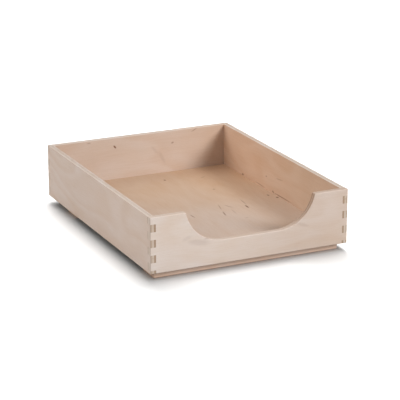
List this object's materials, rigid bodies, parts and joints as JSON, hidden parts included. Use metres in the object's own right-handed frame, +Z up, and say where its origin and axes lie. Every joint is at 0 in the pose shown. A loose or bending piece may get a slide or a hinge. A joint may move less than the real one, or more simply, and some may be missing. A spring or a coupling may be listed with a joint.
{
  "type": "stacking letter tray",
  "caption": "Open plywood letter tray with box-jointed corners, a wide rounded scoop in the front wall, and cleats below that let it stack.",
  "frame": {"origin": "on the surface the tray stands on, below the middle of the tray", "axes": "+X to the right seen from the front, +Y from the scooped front to the back, +Z up"},
  "size_m": [0.25, 0.32, 0.075],
  "materials": {
    "wall_plywood": "sanded birch plywood, clear matt finish",
    "bottom_plywood": "sanded birch plywood, clear matt finish",
    "cleat_wood": "sanded birch, clear matt finish",
    "pin_steel": "plain steel wire"
  },
  "bodies": {
    "root": {"left_side": "wall_plywood", "right_side": "wall_plywood", "front_panel": "wall_plywood", "back_panel": "wall_plywood", "bottom_panel": "bottom_plywood", "front_cleat": "cleat_wood", "rear_cleat": "cleat_wood", "front_cleat_pins": "pin_steel", "rear_cleat_pins": "pin_steel"}
  },
  "joints": []
}
